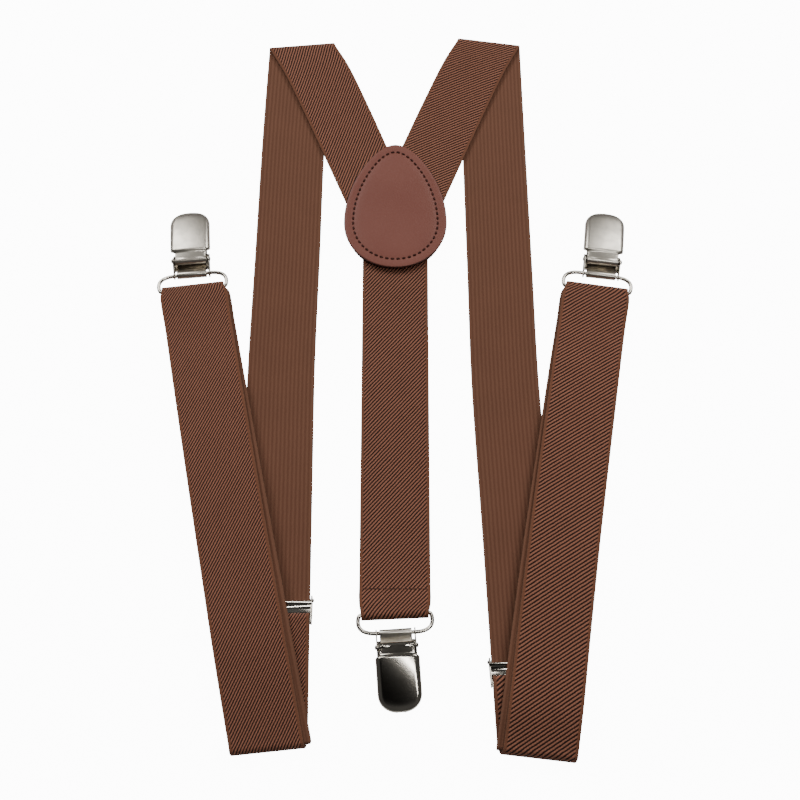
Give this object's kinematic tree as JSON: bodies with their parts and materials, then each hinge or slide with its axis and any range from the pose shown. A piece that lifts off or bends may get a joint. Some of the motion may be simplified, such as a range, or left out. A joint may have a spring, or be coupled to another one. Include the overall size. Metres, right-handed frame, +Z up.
{
  "type": "suspenders",
  "caption": "Clip-on Y-back suspenders of brown elastic webbing with slide adjusters, a stitched leather back patch and lever clips on wire loops, folded and laid flat.",
  "frame": {"origin": "centre of the outer box in plan, on the surface the suspenders lie on", "axes": "+X across to the right as laid out, +Y up the back towards the shoulder folds, +Z up from the surface"},
  "size_m": [0.253, 0.4045, 0.0125],
  "materials": {
    "webbing": "brown elastic webbing, light brown twill face with dark maroon grooves, ribbed reverse",
    "leather": "smooth reddish brown leather with a line of stitches",
    "nickel": "polished nickel plate with light wear",
    "pin_steel": "plain rivet steel",
    "pad": "soft white plastic jaw pad"
  },
  "bodies": {
    "back_assembly": {"patch_back": "leather", "patch_front": "leather", "back_strap_top": "webbing", "left_shoulder_strap": "webbing", "left_return_strap": "webbing", "left_fold_outer": "webbing", "left_fold_inner": "webbing", "right_shoulder_strap": "webbing", "right_return_strap": "webbing", "right_fold_outer": "webbing", "right_fold_inner": "webbing"},
    "lower_back_strap": {"back_strap": "webbing"},
    "back_loop": {"back_wire_loop": "nickel"},
    "back_clip": {"back_clip_base": "nickel", "back_clip_pin": "pin_steel", "back_clip_lower_pad": "pad"},
    "back_tongue": {"back_clip_tongue": "nickel", "back_clip_upper_pad": "pad"},
    "back_lever": {"back_clip_lever": "nickel"},
    "left_front_strap": {"left_front_strap_outer": "webbing", "left_front_strap_inner": "webbing"},
    "left_strap_end": {"left_wire_turn": "webbing"},
    "left_adjuster": {"left_adjuster_frame": "nickel", "left_adjuster_pin": "pin_steel"},
    "left_adjuster_grip": {"left_adjuster_lever": "nickel"},
    "left_loop": {"left_wire_loop": "nickel"},
    "left_clip": {"left_clip_base": "nickel", "left_clip_pin": "pin_steel", "left_clip_lower_pad": "pad"},
    "left_tongue": {"left_clip_tongue": "nickel", "left_clip_upper_pad": "pad"},
    "left_lever": {"left_clip_lever": "nickel"},
    "right_front_strap": {"right_front_strap_outer": "webbing", "right_front_strap_inner": "webbing"},
    "right_strap_end": {"right_wire_turn": "webbing"},
    "right_adjuster": {"right_adjuster_frame": "nickel", "right_adjuster_pin": "pin_steel"},
    "right_adjuster_grip": {"right_adjuster_lever": "nickel"},
    "right_loop": {"right_wire_loop": "nickel"},
    "right_clip": {"right_clip_base": "nickel", "right_clip_pin": "pin_steel", "right_clip_lower_pad": "pad"},
    "right_tongue": {"right_clip_tongue": "nickel", "right_clip_upper_pad": "pad"},
    "right_lever": {"right_clip_lever": "nickel"}
  },
  "joints": [
    {"name": "back_strap_bend", "type": "hinge", "parent": "back_assembly", "child": "lower_back_strap", "pos_m": [0, 0.047, 0.00255], "axis": [-1, 0, 0], "range_deg": [0, 90]},
    {"name": "back_loop_swivel", "type": "hinge", "parent": "lower_back_strap", "child": "back_loop", "pos_m": [0, -0.1314, 0.003], "axis": [-0.999, -0.0436, 0], "range_deg": [0, 45]},
    {"name": "back_clip_tilt", "type": "hinge", "parent": "back_loop", "child": "back_clip", "pos_m": [0.0004, -0.14057, 0.0024], "axis": [-0.999, -0.0436, 0], "range_deg": [0, 60]},
    {"name": "back_lever_open", "type": "hinge", "parent": "back_clip", "child": "back_lever", "pos_m": [0.0009, -0.14775, 0.0054], "axis": [-0.9976, -0.0698, 0], "range_deg": [0, 75]},
    {"name": "back_tongue_lift", "type": "hinge", "parent": "back_clip", "child": "back_tongue", "pos_m": [0.0004, -0.14057, 0.0024], "axis": [-0.9976, -0.0698, 0], "range_deg": [0, 4.2]},
    {"name": "left_adjuster_slide", "type": "slide", "parent": "back_assembly", "child": "left_adjuster", "axis": [-0.0052, 1, 0], "range_m": [-0.012, 0.06], "deforming": ["left_return_strap"]},
    {"name": "left_grip_open", "type": "hinge", "parent": "left_adjuster", "child": "left_adjuster_grip", "pos_m": [-0.05856, -0.1245, 0.00115], "axis": [1, 0.0052, 0], "range_deg": [0, 90]},
    {"name": "left_front_fold", "type": "hinge", "parent": "back_assembly", "child": "left_front_strap", "pos_m": [-0.0582, -0.1938, 0.00345], "axis": [0.9947, 0.1028, 0], "range_deg": [0, 150], "deforming": ["left_fold_outer", "left_fold_inner"]},
    {"name": "left_clip_feed", "type": "slide", "parent": "left_front_strap", "child": "left_strap_end", "axis": [-0.1961, 0.9806, 0], "range_m": [-0.03, 0.006], "deforming": ["left_front_strap_outer", "left_front_strap_inner"]},
    {"name": "left_loop_swivel", "type": "hinge", "parent": "left_strap_end", "child": "left_loop", "pos_m": [-0.1074, 0.0436, 0.003], "axis": [0.9925, 0.1219, 0], "range_deg": [0, 45]},
    {"name": "left_clip_tilt", "type": "hinge", "parent": "left_loop", "child": "left_clip", "pos_m": [-0.10852, 0.05271, 0.0024], "axis": [0.9925, 0.1219, 0], "range_deg": [0, 60]},
    {"name": "left_lever_open", "type": "hinge", "parent": "left_clip", "child": "left_lever", "pos_m": [-0.10915, 0.05988, 0.0054], "axis": [0.9962, 0.0872, 0], "range_deg": [0, 75]},
    {"name": "left_tongue_lift", "type": "hinge", "parent": "left_clip", "child": "left_tongue", "pos_m": [-0.10852, 0.05271, 0.0024], "axis": [0.9962, 0.0872, 0], "range_deg": [0, 4.2]},
    {"name": "right_adjuster_slide", "type": "slide", "parent": "back_assembly", "child": "right_adjuster", "axis": [-0.0451, 0.999, 0], "range_m": [-0.008, 0.06], "deforming": ["right_return_strap"]},
    {"name": "right_grip_open", "type": "hinge", "parent": "right_adjuster", "child": "right_adjuster_grip", "pos_m": [0.06349, -0.1538, 0.00115], "axis": [0.999, 0.0451, 0], "range_deg": [0, 90]},
    {"name": "right_front_fold", "type": "hinge", "parent": "back_assembly", "child": "right_front_strap", "pos_m": [0.0654, -0.1962, 0.00405], "axis": [0.9934, -0.1149, 0], "range_deg": [0, 150], "deforming": ["right_fold_outer", "right_fold_inner"]},
    {"name": "right_clip_feed", "type": "slide", "parent": "right_front_strap", "child": "right_strap_end", "axis": [0.1601, 0.9871, 0], "range_m": [-0.03, 0.004], "deforming": ["right_front_strap_outer", "right_front_strap_inner"]},
    {"name": "right_loop_swivel", "type": "hinge", "parent": "right_strap_end", "child": "right_loop", "pos_m": [0.1069, 0.0434, 0.003], "axis": [0.989, -0.1478, 0], "range_deg": [0, 45]},
    {"name": "right_clip_tilt", "type": "hinge", "parent": "right_loop", "child": "right_clip", "pos_m": [0.10964, 0.05227, 0.0024], "axis": [0.989, -0.1478, 0], "range_deg": [0, 60]},
    {"name": "right_lever_open", "type": "hinge", "parent": "right_clip", "child": "right_lever", "pos_m": [0.11052, 0.05942, 0.0054], "axis": [0.9925, -0.1219, 0], "range_deg": [0, 75]},
    {"name": "right_tongue_lift", "type": "hinge", "parent": "right_clip", "child": "right_tongue", "pos_m": [0.10964, 0.05227, 0.0024], "axis": [0.9925, -0.1219, 0], "range_deg": [0, 4.2]}
  ],
  "couplings": [
    {"joint": "back_tongue_lift", "follows": "back_lever_open", "ratio": 0.055},
    {"joint": "left_clip_feed", "follows": "left_adjuster_slide", "ratio": -0.5},
    {"joint": "left_tongue_lift", "follows": "left_lever_open", "ratio": 0.055},
    {"joint": "right_clip_feed", "follows": "right_adjuster_slide", "ratio": -0.5},
    {"joint": "right_tongue_lift", "follows": "right_lever_open", "ratio": 0.055}
  ]
}
